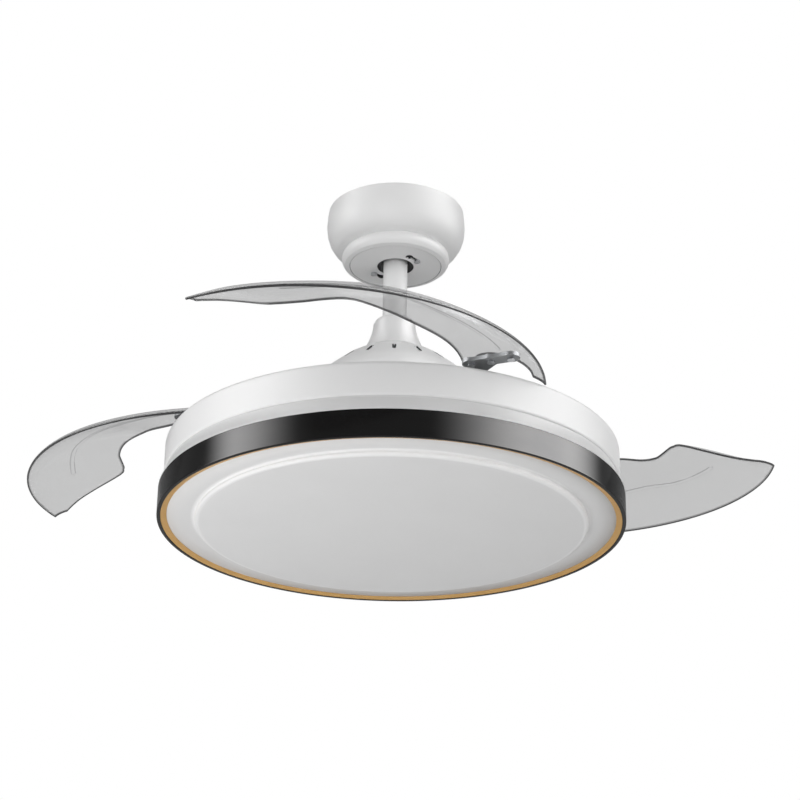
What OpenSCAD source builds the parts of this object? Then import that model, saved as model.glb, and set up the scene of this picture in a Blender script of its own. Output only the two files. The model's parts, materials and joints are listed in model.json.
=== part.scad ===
// Retractable blade ceiling fan with a round lamp.
// The origin is on the ceiling plane, on the fan's axis; +Z points up, so the fan hangs below z = 0.
// Three clear blades fold round the top of the lamp drum and swing out about their own pivots.
// The front of the fan, where blade A lies, faces -Y.

/* [Overall] */
// Height from the ceiling down to the lip of the trim band
drop = 378; // [360:1:420]
// Outer radius of the trim band
body_r = 250; // [246:1:262]
// Play between pieces that touch without being fastened
seat_gap = 0.3; // [0.2:0.05:0.4]
// Radial play of a turning fit
running_gap = 0.05; // [0.03:0.01:0.08]

/* [Canopy] */
// Largest radius of the canopy bowl
canopy_r = 78; // [74:0.5:84]
// Height of the canopy
canopy_h = 65.5; // [63:0.5:70]
// Radius of the flat disc under the canopy
canopy_foot_r = 51.6; // [48:0.2:54]
// Radius of the groove between bowl and bead
canopy_neck_r = 59.5; // [57:0.5:62]
// Height of the bead under the groove
canopy_bead_h = 17; // [14:0.5:19]
// Sheet thickness of the canopy
canopy_wall = 1.6; // [1:0.1:2]
// Radius of the hole the rod passes through
canopy_hole_r = 20.5; // [19:0.1:21]
// Radius of the circle of the two keyholes
keyhole_ring_r = 29; // [28:0.5:31]
// Direction of the first canopy screw, degrees from +X
keyhole_az = -34; // [-50:1:-20]
// Turn from the locked place to the wide end of a keyhole
keyhole_turn = 24; // [20:1:30]

/* [Ceiling bracket] */
// Length of the plate against the ceiling
bracket_l = 118; // [112:1:124]
// Width of the bracket
bracket_w = 40; // [36:1:44]
// Sheet thickness of the bracket
bracket_t = 2; // [1.5:0.1:2.5]
// Outside distance between the two legs
bracket_leg_w = 76; // [72:1:78]
// Distance between the ceiling slots
slot_pitch = 94; // [90:1:98]
// Width of a ceiling slot
slot_w = 5.4; // [4.5:0.1:6.5]
// End-to-end length of a ceiling slot
slot_l = 13; // [10:0.5:14]

/* [Hanger] */
// Radius of the hanger ball
ball_r = 23; // [22:0.5:24]
// Depth of the ball's centre under the ceiling
ball_depth = 43; // [41:0.5:45]
// Radius of the rod
rod_r = 13.5; // [12.5:0.1:14]
// Wall of the rod
rod_wall = 2.3; // [1.5:0.1:3]
// Radius of the two cross pins
cross_pin_r = 3; // [2.5:0.1:3.5]

/* [Coupling cover] */
// Height of the cover's top above the lip
bell_top_h = 244; // [240:1:248]
// Height of the cover's lower edge above the lip
bell_foot_h = 203.5; // [202:0.5:206]
// Radius of the cover at its shoulder
bell_top_r = 22.5; // [22:0.5:25]
// Radius of the cover at its lower edge
bell_foot_r = 35; // [34:0.5:38]
// Wall of the cover
bell_wall = 1.6; // [1.2:0.1:2]

/* [Motor] */
// Radius of the motor cover at its skirt
cover_r = 100; // [98:0.5:102]
// Height of the skirt's lower edge above the lip
cover_foot_h = 133; // [132:0.5:140]
// Sheet thickness of the motor cover
cover_wall = 1.6; // [1.2:0.1:2]
// Number of vent slots in the motor cover
vent_count = 16; // [12:1:18]
// Width of a vent slot
vent_w = 4.2; // [3:0.1:5]
// Radius of the hollow motor shaft
shaft_r = 9; // [8.5:0.1:9.5]
// Wall of the motor shaft
shaft_wall = 2.6; // [2:0.1:3.2]
// Outer radius of the rotor shell
rotor_r = 64; // [62:0.5:68]
// Outer radius of a motor bearing
bearing_r = 20; // [18:0.5:21]
// Height of a motor bearing
bearing_h = 11; // [9:0.5:12]
// Number of stator teeth
tooth_count = 12; // [9:3:15]

/* [Blade carrier] */
// Radius of the two plates that hold the blade pivots
plate_r = 125; // [124:0.5:127]
// Thickness of the lower plate
plate_t = 2.5; // [2:0.1:3]
// Thickness of the upper plate
guide_t = 2; // [1.5:0.1:2.5]
// Distance of a blade pivot from the axis
pivot_r = 108; // [106:0.5:109]
// Direction of blade A's pivot, degrees from +X
pivot_az = -78; // [-90:0.5:-70]
// Radius of a pivot pin
pivot_pin_r = 5; // [4.5:0.1:5.5]
// Wall of a pivot bush
bush_wall = 2; // [1.5:0.1:2.5]
// Distance of a stop post from its pivot
post_reach = 34; // [33:0.5:36]
// Radius of a stop post
post_r = 4.5; // [4:0.1:5]
// Radius of the rubber sleeve on a stop post
sleeve_r = 7; // [6:0.1:7.5]
// Wire radius of a return spring
spring_wire_r = 0.75; // [0.5:0.05:0.75]
// Turns of a return spring
spring_turns = 2.5; // [2:0.5:2.5]

/* [Blades] */
// Radius of a blade's outer edge at its root, round the fan's axis when folded
blade_r = 223; // [220:0.5:225]
// How far the outer edge flares outwards from root to tip
edge_flare = 24.6; // [18:0.2:25]
// How far the outer edge curls back in at the tip
edge_curl = 6.8; // [4:0.2:9]
// Angle that a folded blade takes up
blade_span = 114.2; // [108:0.1:116]
// Angle from the pivot to the blade's root when folded
root_lag = 38.9; // [37:0.1:40]
// Swing of blades A and C from folded to their place at rest
swing_rest = 110; // [105:0.2:118]
// Swing of a blade from folded to its open stop
swing_stop = 148.2; // [140:0.2:149]
// Height of a blade's outer edge above the lip
blade_edge_h = 84.8; // [84.7:0.1:87]
// Thickness of a blade
blade_t = 2.4; // [1.8:0.1:3]
// Nominal width of a blade, which its widest place passes by a tenth
blade_w = 100; // [94:0.5:101]
// Pitch of a blade at its root
blade_pitch = 19; // [17:0.5:20]
// How a blade is rolled down at its outer edge: 1 is flat, 2 is a quarter ellipse
edge_roll = 1.4; // [1.2:0.05:1.6]
// Thickness of a blade arm
arm_t = 4; // [3:0.1:4.5]
// Width of a blade arm
arm_w = 22; // [18:0.5:24]
// Radius of an arm's hub
hub_r = 13; // [12:0.5:14]

/* [Lamp] */
// Height of the trim band
band_h = 29; // [27:0.5:31]
// Wall of the trim band
band_wall = 2; // [1.5:0.1:2.5]
// Radial width of the dark lip under the band
lip_w = 4; // [3:0.1:5]
// Radial width of the gold ring
gold_w = 6.5; // [5:0.1:8]
// Rise of the gold ring towards the diffuser
gold_rise = 2.4; // [1.5:0.1:3]
// Radius of the diffuser's face
face_r = 210; // [204:0.5:214]
// Depth of the diffuser's face under the lip at its edge
face_drop = 2.9; // [2:0.1:4]
// Extra depth of the diffuser's face at its centre
face_crown = 2.1; // [1:0.1:4]
// Thickness of the diffuser
face_t = 2; // [1.5:0.1:2.5]
// How far the drum's wall is set in from the trim band
drum_inset = 5; // [4:0.5:7]
// Height of the drum's top edge above the lip
drum_top_h = 83.5; // [80:0.5:84]
// Height of the fold where the cove meets the drum's wall
cove_h = 46; // [42:0.5:50]
// Sheet thickness of the drum
drum_wall = 1.5; // [1.2:0.1:2]
// Depth of the well in the drum's top, under the blade carrier
well_depth = 4.5; // [3.5:0.1:6]
// Radius of the round light board
board_r = 190; // [170:1:200]
// Number of light chips in the outer circle
chip_count = 24; // [12:2:36]
// Turn that frees the lamp cover from its clips
cover_turn = 16; // [14:1:20]

/* [Hidden] */
$fn = 96;
cut = 1;                                  // how far a cutter runs past the face it cuts

white = [0.90, 0.90, 0.90];
smoke = [0.55, 0.56, 0.58, 0.55];
steel = [0.72, 0.73, 0.75];
zinc = [0.80, 0.80, 0.78];
dark_chrome = [0.13, 0.13, 0.14];
gold = [0.76, 0.60, 0.42];
rubber = [0.10, 0.10, 0.10];

// Height above the lip, as a height in the fan's frame
function up(h) = h - drop;

drum_r = body_r - drum_inset;             // radius of the drum's wall

// Levels, upwards from the lip
gold_t = 0.4;                             // thickness of the gold ring at its inner edge
flange_h = gold_rise + gold_t;            // underside of the diffuser's flange
well_h = drum_top_h - well_depth;         // top of the well in the drum
plate_h = drum_top_h + 2;                 // underside of the carrier plate
hub_h = plate_h + plate_t + 1;            // underside of a blade hub
arm_h = hub_h + 1;                        // underside of a blade arm
hub_t = 10;                               // height of a blade hub
guide_h = hub_h + hub_t + 1;              // underside of the guide plate
rotor_h = plate_h + plate_t;              // underside of the rotor shell's flange
rotor_t = 58;                             // height of the rotor shell
rotor_wall = 3;
rotor_flange = 10;                        // width of the flange at the shell's foot
stator_h = rotor_h + 15;                  // underside of the stator core
stator_t = 28;                            // height of the stator core
rotor_top_h = rotor_h + rotor_t;
collar_t = 5;                             // height of the shaft collar that stands on the drum
nut_t = 8;                                // height of the nut under the drum
shaft_foot_h = well_h - drum_wall - 2 * nut_t + 1.5; // lower end of the motor shaft
rod_cover = 31;                           // how far the coupling cover hides the rod
rod_foot_h = bell_top_h - rod_cover;      // lower end of the rod
shaft_top_h = rod_foot_h - 1;             // top of the motor shaft

// Chord of a blade from root to tip, as [place along the blade, share of blade_w]
chord_knots = [[0, 0.83], [0.2, 0.9], [0.4, 1.035], [0.55, 1.11], [0.66, 1.01], [0.74, 0.995], [0.8, 1.02],
               [0.85, 1.03], [0.89, 1.015], [0.93, 0.92], [0.97, 0.41], [0.985, 0.27], [1, 0.15]];
// Twist of a blade from root to tip, as [place along the blade, angle added to the pitch]
twist_knots = [[0, 0], [0.3, -0.7], [0.6, 2.9], [0.8, -0.4], [1, -0.3]];

// ---------- shared shapes ----------

// Points of an arc about [x, y]
function arc(x, y, r, from, to, steps = 6) =
    [for (i = [0:steps]) let (a = from + (to - from) * i / steps) [x + r * cos(a), y + r * sin(a)]];

// Unit normal on the right of the way from a to b
function side(a, b) = let (d = b - a, l = norm(d)) [d[1] / l, -d[0] / l];

// A path set off to its right by w, with mitred corners
function inset(p, w) = [for (i = [0:len(p) - 1])
    let (n0 = side(p[max(i - 1, 0)], p[max(i, 1)]),
         n1 = side(p[min(i, len(p) - 2)], p[min(i + 1, len(p) - 1)]),
         m = n0 + n1)
    p[i] + m * (2 * w / (m * m))];

// A wall of thickness w on the right of an open path
function wall_points(p, w) = let (q = inset(p, w))
    concat(p, [for (i = [len(q) - 1:-1:0]) [max(0, q[i][0]), q[i][1]]]);

module ring(r_out, r_in, h) {
    difference() {
        cylinder(r = r_out, h = h);
        translate([0, 0, -cut]) cylinder(r = r_in, h = h + 2 * cut);
    }
}

// Round bar between two points along X
module bar_x(r, l) {
    rotate([0, 90, 0]) cylinder(r = r, h = l, center = true);
}

// Flat web along +X, w0 wide up to the share `even` of its length and w1 wide at its end
module web(w0, w1, l, even = 0) {
    polygon([[0, -w0 / 2], [l * even, -w0 / 2], [l, -w1 / 2], [l, w1 / 2], [l * even, w0 / 2], [0, w0 / 2]]);
}

module slot_2d(l, w) {
    square([l - w, w], center = true);
    for (x = [-1, 1]) translate([x * (l - w) / 2, 0]) circle(d = w, $fn = 32);
}

// Pan-head screw: head above z = 0, shank below
module screw(shank_r, shank_l, head_r, head_h) {
    cylinder(r = head_r, h = head_h, $fn = 32);
    translate([0, 0, -shank_l]) cylinder(r = shank_r, h = shank_l + head_h / 2, $fn = 32);
}

// ---------- ceiling bracket and canopy ----------

saddle_depth = canopy_h - canopy_wall - seat_gap;     // underside of the bracket's foot
saddle_h = 6;                             // height of the pressed seat round the ball
wire_hole_r = 3;                          // holes for the supply and earth wires
rod_entry = 2.5;                          // room round the rod in the bracket's foot
canopy_screw_r = 2;
canopy_head_r = 3.6;
canopy_head_h = 2.2;
screw_play = 0.4;                         // room round a screw's shank in a keyhole

module at_canopy_screws() {
    for (turn = [0, 180]) rotate([0, 0, keyhole_az + turn])
        translate([keyhole_ring_r, 0, 0]) children();
}

module mounting_bracket() {
    foot_w = 2 * keyhole_ring_r * sin(-keyhole_az) + 12;
    foot = [bracket_leg_w, foot_w, bracket_t];
    color(zinc) difference() {
        union() {
            translate([-bracket_l / 2, -bracket_w / 2, -bracket_t]) cube([bracket_l, bracket_w, bracket_t]);
            for (s = [-1, 1]) translate([s * (bracket_leg_w - bracket_t) / 2, 0, -saddle_depth / 2])
                cube([bracket_t, bracket_w, saddle_depth], center = true);
            translate([-foot[0] / 2, -foot[1] / 2, -saddle_depth]) cube(foot);
            // Pressed seat that the ball rests in
            translate([0, 0, -saddle_depth]) cylinder(r = ball_r - 1, h = saddle_h);
        }
        translate([0, 0, -ball_depth]) sphere(r = ball_r + seat_gap);
        translate([0, 0, -saddle_depth - cut]) {
            cylinder(r = rod_r + rod_entry, h = saddle_h + 2 * cut);
            // Side entry for the rod
            translate([-rod_r - rod_entry, 0, 0]) cube([2 * (rod_r + rod_entry), bracket_w, 2 * saddle_h]);
        }
        translate([0, 0, -bracket_t - cut]) {
            linear_extrude(bracket_t + 2 * cut) for (s = [-1, 1])
                translate([s * slot_pitch / 2, 0]) slot_2d(slot_l, slot_w);
            for (s = [-1, 1]) translate([0, s * (bracket_w / 2 - 2 * wire_hole_r), 0])
                cylinder(r = wire_hole_r, h = bracket_t + 2 * cut);
        }
        translate([0, 0, -saddle_depth - cut]) at_canopy_screws()
            cylinder(r = canopy_screw_r, h = bracket_t + 2 * cut, $fn = 32);
    }
}

receiver_size = [58, 30, 14];
module receiver_box() {
    seam = 0.6;                           // joint line of the lid
    size = receiver_size;
    color([0.93, 0.93, 0.91]) translate([-size[0] / 2, -size[1] / 2, -bracket_t - size[2]]) difference() {
        cube(size);
        for (y = [-cut, size[1] - seam])
            translate([-cut, y, size[2] / 3]) cube([size[0] + 2 * cut, cut + seam, seam]);
    }
}

block_size = [11, 24, 16];
block_top = 28;                           // depth of the block's top under the ceiling
terminal_r = 2.2;
module terminal_block() {
    pitch = block_size[1] / 3;
    color([0.95, 0.94, 0.88]) translate([bracket_leg_w / 2, -block_size[1] / 2, -block_top - block_size[2]])
        difference() {
            cube(block_size);
            for (i = [0:2]) translate([block_size[0] / 2, pitch * (i + 0.5), block_size[2] / 2])
                cylinder(r = terminal_r, h = block_size[2], $fn = 32);
        }
}

module canopy_screws() {
    shank_l = canopy_h + seat_gap - saddle_depth + bracket_t + 2;
    color(steel) at_canopy_screws() translate([0, 0, -canopy_h - seat_gap]) rotate([180, 0, 0])
        screw(canopy_screw_r, shank_l, canopy_head_r, canopy_head_h);
}

// Outline of the canopy from its top rim down to its foot
function canopy_path() = let (
    neck_z = -canopy_h + canopy_bead_h,
    bowl_w = canopy_r - canopy_neck_r,
    bowl_h = bowl_w * 1.62,
    bead_w = 8,
    bead_h = canopy_bead_h / 2,
    bead_r = canopy_neck_r + 1)
    concat(
        [[canopy_r - canopy_wall, 0], [canopy_r - canopy_wall / 3, -canopy_wall * 5]],
        [for (a = [0:-18:-90]) [canopy_neck_r + bowl_w * cos(a), neck_z + bowl_h * (1 + sin(a))]],
        [for (a = [60:-20:-60]) [bead_r - bead_w * (1 - cos(a)), -canopy_h + bead_h * (1 + sin(a))]],
        [[canopy_foot_r, -canopy_h]]);

module canopy() {
    slot_r = canopy_screw_r + screw_play;
    deep = canopy_wall + 2 * cut;
    color(white) difference() {
        union() {
            rotate_extrude() polygon(wall_points(canopy_path(), canopy_wall));
            translate([0, 0, -canopy_h]) cylinder(r = canopy_foot_r - canopy_wall / 3, h = canopy_wall);
        }
        translate([0, 0, -canopy_h - cut]) {
            cylinder(r = canopy_hole_r, h = deep);
            // Keyholes: a slot for the screw's shank and a wide end for its head
            at_canopy_screws() cylinder(r = slot_r, h = deep, $fn = 32);
            for (turn = [0, 180]) rotate([0, 0, turn + keyhole_az - keyhole_turn]) {
                rotate_extrude(angle = keyhole_turn)
                    translate([keyhole_ring_r - slot_r, 0]) square([2 * slot_r, deep]);
                translate([keyhole_ring_r, 0, 0])
                    cylinder(r = canopy_head_r + screw_play + 0.2, h = deep, $fn = 32);
            }
        }
    }
}

// ---------- ball, rod and coupling ----------

ball_foot = ball_depth + 15;              // depth of the ball's flat underside
ball_top = ball_depth - 17;               // depth of the ball's flat top
rod_top = ball_top + 1;                   // depth of the rod's upper end
coupling_r = 19.5;
coupling_flange_r = 30;
cover_screw_r = 1.6;
coupling_flange_t = 4;
cover_top_h = bell_foot_h - seat_gap;     // top of the motor cover, under the coupling cover
coupling_flange_h = cover_top_h - cover_wall - coupling_flange_t;
rod_grip = 12;                            // depth of the coupling's socket for the rod
shaft_grip = 26;                          // length of the coupling round the shaft
pin_lift = 7;                             // cross pin's height above the rod's lower end
coupling_top_h = rod_foot_h + rod_grip;
coupling_foot_h = min(shaft_top_h - shaft_grip, coupling_flange_h); // below the shaft's grip and the flange
coupling_pin_h = rod_foot_h + pin_lift;
set_screw_r = 2.5;
set_screw_h = coupling_foot_h + 2 * set_screw_r;

module hanger_ball() {
    rock = 1.6;                           // room for the rod to rock about the pin
    color([0.16, 0.16, 0.17]) difference() {
        intersection() {
            translate([0, 0, -ball_depth]) sphere(r = ball_r);
            translate([0, 0, -ball_foot]) cylinder(r = ball_r + 1, h = ball_foot - ball_top);
        }
        // Rod hole, wider towards both ends
        translate([0, 0, -ball_depth]) rotate_extrude() polygon([[0, -ball_r], [rod_r + rock, -ball_r],
            [rod_r + 0.4, 0], [rod_r + rock, ball_r], [0, ball_r]]);
        translate([0, 0, -ball_depth]) rotate([90, 0, 0]) rotate(45)
            cylinder(r = cross_pin_r + running_gap, h = 3 * ball_r, center = true);
    }
}

module ball_pin() {
    color(steel) translate([0, 0, -ball_depth]) rotate([90, 0, 0])
        cylinder(r = cross_pin_r, h = 2 * (ball_r - 2), center = true);
}

module downrod() {
    color(white) difference() {
        translate([0, 0, up(rod_foot_h)]) ring(rod_r, rod_r - rod_wall, drop - rod_foot_h - rod_top);
        translate([0, 0, -ball_depth]) rotate([90, 0, 0])
            cylinder(r = cross_pin_r, h = 3 * rod_r, center = true);
        translate([0, 0, up(coupling_pin_h)]) bar_x(cross_pin_r, 3 * rod_r);
    }
}

module shaft_coupling() {
    color(zinc) difference() {
        union() {
            translate([0, 0, up(coupling_foot_h)])
                cylinder(r = coupling_r, h = coupling_top_h - coupling_foot_h);
            translate([0, 0, up(coupling_flange_h)]) cylinder(r = coupling_flange_r, h = coupling_flange_t);
        }
        translate([0, 0, up(rod_foot_h)]) cylinder(r = rod_r, h = coupling_top_h - rod_foot_h + cut);
        translate([0, 0, up(coupling_foot_h) - cut])
            cylinder(r = shaft_r, h = rod_foot_h - coupling_foot_h + 2 * cut);
        translate([0, 0, up(coupling_pin_h)]) {
            bar_x(cross_pin_r, 3 * coupling_r);
            // Way in for the pin's head
            translate([-coupling_r - running_gap - coupling_flange_r / 2, 0, 0])
                bar_x(pin_head_r + seat_gap, coupling_flange_r);
        }
        // Set screws against the shaft
        translate([0, 0, up(set_screw_h)]) rotate([90, 0, 0])
            cylinder(r = set_screw_r, h = 3 * coupling_r, center = true, $fn = 32);
        at_cover_screws() translate([0, 0, up(coupling_flange_h) - cut])
            cylinder(r = cover_screw_r + 0.1, h = coupling_flange_t + 2 * cut, $fn = 32);
    }
}

pin_head_r = cross_pin_r * 1.5;
module coupling_pin() {
    head_l = 2;
    color(steel) translate([0, 0, up(coupling_pin_h)]) {
        bar_x(cross_pin_r, 2 * coupling_r + head_l);
        translate([-coupling_r - head_l / 2, 0, 0]) bar_x(pin_head_r, head_l);
    }
}

module set_screws() {
    set_screw_l = coupling_r - shaft_r + 1;
    color(rubber) for (turn = [0, 180]) rotate([0, 0, turn]) translate([0, shaft_r, up(set_screw_h)])
        rotate([-90, 0, 0]) difference() {
            cylinder(r = set_screw_r, h = set_screw_l, $fn = 32);
            // Socket for the key
            translate([0, 0, set_screw_l - set_screw_r])
                cylinder(r = set_screw_r * 0.56, h = 2 * set_screw_r, $fn = 6);
        }
}

module coupling_cover() {
    shoulder = 5;                         // rounding of the cover's top
    neck_r = bell_top_r + 1;
    neck_h = bell_top_h - shoulder - 1;   // where the wall starts to flare
    flare = [for (i = [0:8]) let (t = i / 8)
        [neck_r + (bell_foot_r - neck_r) * pow(t, 1.7), up(neck_h - (neck_h - bell_foot_h) * t)]];
    path = concat([[rod_r + 2, up(bell_top_h)]],
                  arc(bell_top_r - shoulder, up(bell_top_h - shoulder), shoulder, 80, 10, 4), flare);
    wall = [for (p = wall_points(path, bell_wall)) [p[0], max(p[1], up(bell_foot_h))]];
    color(white) rotate_extrude() polygon(concat(
        wall, [[rod_r + seat_gap, up(bell_top_h) - bell_wall], [rod_r + seat_gap, up(bell_top_h)]]));
}

// ---------- motor ----------

module motor_shaft() {
    color(steel) difference() {
        union() {
            translate([0, 0, up(shaft_foot_h)]) cylinder(r = shaft_r, h = shaft_top_h - shaft_foot_h);
            // Collar on the drum, then a step that the lower bearing stands on
            translate([0, 0, up(well_h)]) cylinder(r = bearing_r - 4, h = collar_t);
            translate([0, 0, up(well_h)])
                cylinder(r = shaft_r + race_w - 0.5, h = rotor_h - seat_gap - well_h);
            // Sleeve that carries the stator
            translate([0, 0, up(stator_h - 2)]) cylinder(r = shaft_sleeve_r, h = stator_t + 4);
        }
        translate([0, 0, up(shaft_foot_h) - cut])
            cylinder(r = shaft_r - shaft_wall, h = shaft_top_h - shaft_foot_h + 2 * cut);
    }
}

race_w = 3;                               // width of a bearing race
shaft_sleeve_r = shaft_r + 2;
magnet_t = 4.8;
air_gap = 1.2;                            // between stator teeth and magnets
tooth_r = rotor_r - rotor_wall - magnet_t - air_gap;
tooth_w = 6;
tooth_tip = 4;                            // radial depth of a tooth's foot
core_r = 26;                              // radius of the stator's hub
winding_w = 11;
plate_screw_r = 2;
rotor_flange_t = 3;
module stator_core() {
    tooth_arc = 0.77 * 360 / tooth_count;
    color([0.45, 0.46, 0.48]) translate([0, 0, up(stator_h)]) difference() {
        union() {
            cylinder(r = core_r, h = stator_t);
            for (i = [0:tooth_count - 1]) rotate([0, 0, 360 * i / tooth_count]) {
                translate([0, -tooth_w / 2, 0]) cube([tooth_r - tooth_tip / 2, tooth_w, stator_t]);
                rotate([0, 0, -tooth_arc / 2]) rotate_extrude(angle = tooth_arc)
                    translate([tooth_r - tooth_tip, 0]) square([tooth_tip, stator_t]);
            }
        }
        translate([0, 0, -cut]) cylinder(r = shaft_sleeve_r, h = stator_t + 2 * cut);
    }
}

module stator_windings() {
    inner = core_r + 0.5;
    outer = tooth_r - tooth_tip - 0.5;
    color([0.72, 0.38, 0.18]) for (i = [0:tooth_count - 1]) rotate([0, 0, 360 * i / tooth_count])
        translate([(inner + outer) / 2, 0, up(stator_h + stator_t / 2)]) difference() {
            cube([outer - inner, winding_w, stator_t + winding_w - tooth_w], center = true);
            cube([tooth_r, tooth_w, stator_t], center = true);
        }
}

module rotor_shell() {
    color([0.78, 0.79, 0.80]) difference() {
        union() {
            translate([0, 0, up(rotor_h)]) cylinder(r = rotor_r, h = rotor_t);
            translate([0, 0, up(rotor_h)]) cylinder(r = rotor_r + rotor_flange, h = rotor_flange_t);
        }
        translate([0, 0, up(rotor_h + rotor_wall + 1)])
            cylinder(r = rotor_r - rotor_wall, h = rotor_t - 2 * rotor_wall - 2);
        for (h = [rotor_h - cut, rotor_top_h - bearing_h])
            translate([0, 0, up(h)]) cylinder(r = bearing_r, h = bearing_h + cut);
        at_plate_screws() translate([0, 0, up(rotor_h) - cut])
            cylinder(r = plate_screw_r, h = rotor_flange_t + 2 * cut, $fn = 32);
    }
    // Bearing seats inside the shell
    color([0.78, 0.79, 0.80]) for (h = [rotor_h, rotor_top_h - bearing_h])
        translate([0, 0, up(h)]) ring(bearing_r + 4, bearing_r, bearing_h);
}

module rotor_magnets() {
    color([0.2, 0.2, 0.22]) translate([0, 0, up(stator_h - 1)])
        ring(rotor_r - rotor_wall, tooth_r + air_gap, stator_t + 2);
}

module bearing(h) {
    color(steel) translate([0, 0, up(h)]) difference() {
        ring(bearing_r, shaft_r + running_gap, bearing_h);
        for (z = [-cut, bearing_h - 1]) translate([0, 0, z])
            ring(bearing_r - race_w, shaft_r + race_w, 1 + cut);
    }
}

module upper_bearing() { bearing(rotor_top_h - bearing_h); }
module lower_bearing() { bearing(rotor_h); }

// Outline of the motor cover from the coupling cover down to the skirt
vent_r = 68;                              // where the vents are, on the cover's cone
vent_h = cover_foot_h + 49;
vent_slope = 40;                          // slope of the cone
vent_l = 18;
// Shoulder between cone and skirt, as [inwards from the skirt, height above its edge]
cover_shoulder = [[16, 34.5], [8, 24], [2, 12], [0, 0]];
function cover_path() = concat(
    [[coupling_r + seat_gap, up(cover_top_h)],
     [bell_foot_r + 1, up(cover_top_h)],
     [bell_foot_r + 3, up(cover_top_h - 2)],
     [bell_foot_r + 15, up(vent_h + 13.5)]],
    [for (s = [-1, 1]) [vent_r + s * vent_l / 2, up(vent_h - s * vent_l / 2 * tan(vent_slope))]],
    [for (p = cover_shoulder) [cover_r - p[0], up(cover_foot_h + p[1])]]);

module at_cover_screws() {
    for (i = [0:3]) rotate([0, 0, 45 + 90 * i]) translate([coupling_flange_r - 5, 0, 0]) children();
}

module motor_cover() {
    color(white) difference() {
        rotate_extrude() polygon(wall_points(cover_path(), cover_wall));
        for (i = [0:vent_count - 1]) rotate([0, 0, -90 + 360 * i / vent_count])
            translate([vent_r, 0, up(vent_h)]) rotate([0, vent_slope, 0]) translate([0, 0, -6])
            linear_extrude(12) slot_2d(vent_l, vent_w);
        at_cover_screws() translate([0, 0, up(coupling_flange_h)])
            cylinder(r = cover_screw_r + 0.1, h = 12, $fn = 32);
    }
}

module cover_screws() {
    color(steel) at_cover_screws() translate([0, 0, up(coupling_flange_h)]) rotate([180, 0, 0])
        screw(cover_screw_r, coupling_flange_t + cover_wall, 2 * cover_screw_r, 2);
}

// ---------- blade carrier ----------

blade_turn = [0, -120, 120];              // directions of blades A, B and C from blade A
blade_swing = [swing_rest, swing_stop, swing_rest];
boss_s = 0.135;                           // where the arm is screwed to the blade, along the blade
boss_t = [0.29, 0.53, 0.77];              // and across it
post_screw_r = 2;                         // reduced ends of a stop post
nut_h = 2;
pin_head_h = 2.6;

function polar(r, a) = [r * cos(a), r * sin(a)];
pad_at = blade_plan(boss_s, boss_t[1]);
arm_reach = norm(pad_at - [pivot_r, 0]);
arm_az = atan2(pad_at[1], pad_at[0] - pivot_r);
// Angle between the arm and a post it touches
post_lead = asin((arm_w / 2 + sleeve_r + seat_gap) / post_reach);
post_angles = [arm_az - post_lead, arm_az + swing_stop + post_lead];

// Turns to each blade's pivot, which then lies on +X at pivot_r
module at_pivots() {
    for (t = blade_turn) rotate([0, 0, pivot_az + t]) children();
}

module at_posts() {
    at_pivots() for (a = post_angles)
        translate([pivot_r + post_reach * cos(a), post_reach * sin(a), 0]) children();
}

// Puts a blade that is drawn folded, with its pivot on +X, in its place at rest
module at_rest(i) {
    rotate([0, 0, pivot_az + blade_turn[i]]) translate([pivot_r, 0, 0])
        rotate([0, 0, blade_swing[i]]) translate([-pivot_r, 0, 0]) children();
}

module at_plate_screws() {
    for (i = [0:5]) rotate([0, 0, pivot_az + 30 + 60 * i])
        translate([rotor_r + rotor_flange / 2, 0, 0]) children();
}

module carrier_plate() {
    window_r = 14;
    color(zinc) translate([0, 0, up(plate_h)]) difference() {
        cylinder(r = plate_r, h = plate_t);
        translate([0, 0, -cut]) {
            cylinder(r = bearing_r - 1, h = plate_t + 2 * cut);
            at_pivots() translate([pivot_r, 0, 0]) cylinder(r = pivot_pin_r - 1, h = plate_t + 2 * cut);
            at_posts() cylinder(r = post_screw_r, h = plate_t + 2 * cut, $fn = 32);
            at_plate_screws() cylinder(r = plate_screw_r, h = plate_t + 2 * cut, $fn = 32);
            // Windows between the pivots
            at_pivots() rotate([0, 0, 60]) translate([plate_r - 2 * window_r, 0, 0])
                cylinder(r = window_r, h = plate_t + 2 * cut);
        }
    }
}

module guide_plate() {
    color(zinc) translate([0, 0, up(guide_h)]) difference() {
        cylinder(r = plate_r, h = guide_t);
        translate([0, 0, -cut]) {
            cylinder(r = rotor_r + rotor_flange + 4, h = guide_t + 2 * cut);
            at_pivots() translate([pivot_r, 0, 0]) cylinder(r = pivot_pin_r, h = guide_t + 2 * cut);
            at_posts() cylinder(r = post_screw_r, h = guide_t + 2 * cut, $fn = 32);
        }
    }
}

module stop_posts() {
    color(steel) at_posts() {
        translate([0, 0, up(rotor_h)]) cylinder(r = post_r, h = guide_h - rotor_h, $fn = 48);
        translate([0, 0, up(plate_h)]) cylinder(r = post_screw_r, h = guide_h + guide_t - plate_h, $fn = 32);
        translate([0, 0, up(guide_h + guide_t)]) cylinder(r = 2 * post_screw_r, h = nut_h, $fn = 6);
    }
}

module stop_sleeves() {
    color(rubber) at_posts() translate([0, 0, up(rotor_h)])
        ring(sleeve_r, post_r, arm_h + arm_t + 0.5 - rotor_h);
}

module pivot_pins() {
    color(steel) at_pivots() translate([pivot_r, 0, 0]) {
        translate([0, 0, up(plate_h)]) cylinder(r = pivot_pin_r - 1, h = plate_t + 0.5);
        translate([0, 0, up(rotor_h)]) cylinder(r = pivot_pin_r, h = guide_h + guide_t - rotor_h);
        translate([0, 0, up(guide_h + guide_t)]) cylinder(r = pivot_pin_r + 3, h = pin_head_h);
    }
}

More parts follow.
